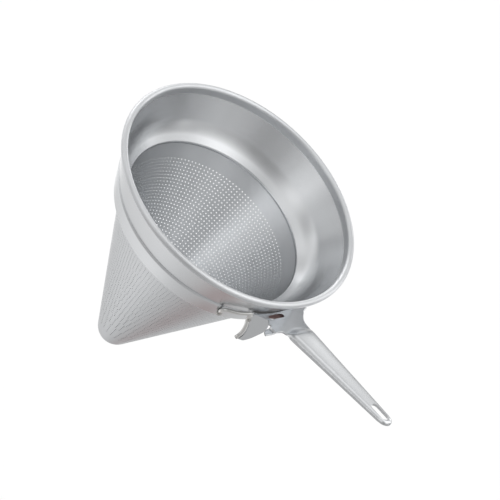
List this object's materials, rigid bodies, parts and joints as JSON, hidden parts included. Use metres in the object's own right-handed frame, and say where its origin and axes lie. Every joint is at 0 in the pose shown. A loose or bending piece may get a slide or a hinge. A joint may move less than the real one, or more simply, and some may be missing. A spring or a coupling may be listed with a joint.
{
  "type": "chinois strainer",
  "caption": "Conical perforated metal strainer with a flared splash ring, rolled rim, sloping channel handle and a pan hook beside the handle's root.",
  "frame": {"origin": "centre of the mouth, in the plane through the middle of the rolled rim", "axes": "+Z along the axis of the cone from the tip out through the mouth, +X towards the handle"},
  "size_m": [0.3102, 0.2, 0.216],
  "materials": {
    "perforated_steel": "satin, drawn sheet",
    "satin_steel": "satin, spun sheet",
    "handle_steel": "satin with polished edges",
    "wire_steel": "bright drawn wire",
    "weld_steel": "dull, brushed weld"
  },
  "bodies": {
    "root": {"strainer_cone": "perforated_steel", "collar_band": "satin_steel", "joint_band": "satin_steel", "splash_ring": "satin_steel", "rim_wire": "wire_steel", "handle": "handle_steel", "pan_hook_wire": "wire_steel", "weld_root": "weld_steel", "weld_wire_foot": "weld_steel", "weld_wire_hook": "weld_steel"}
  },
  "joints": []
}
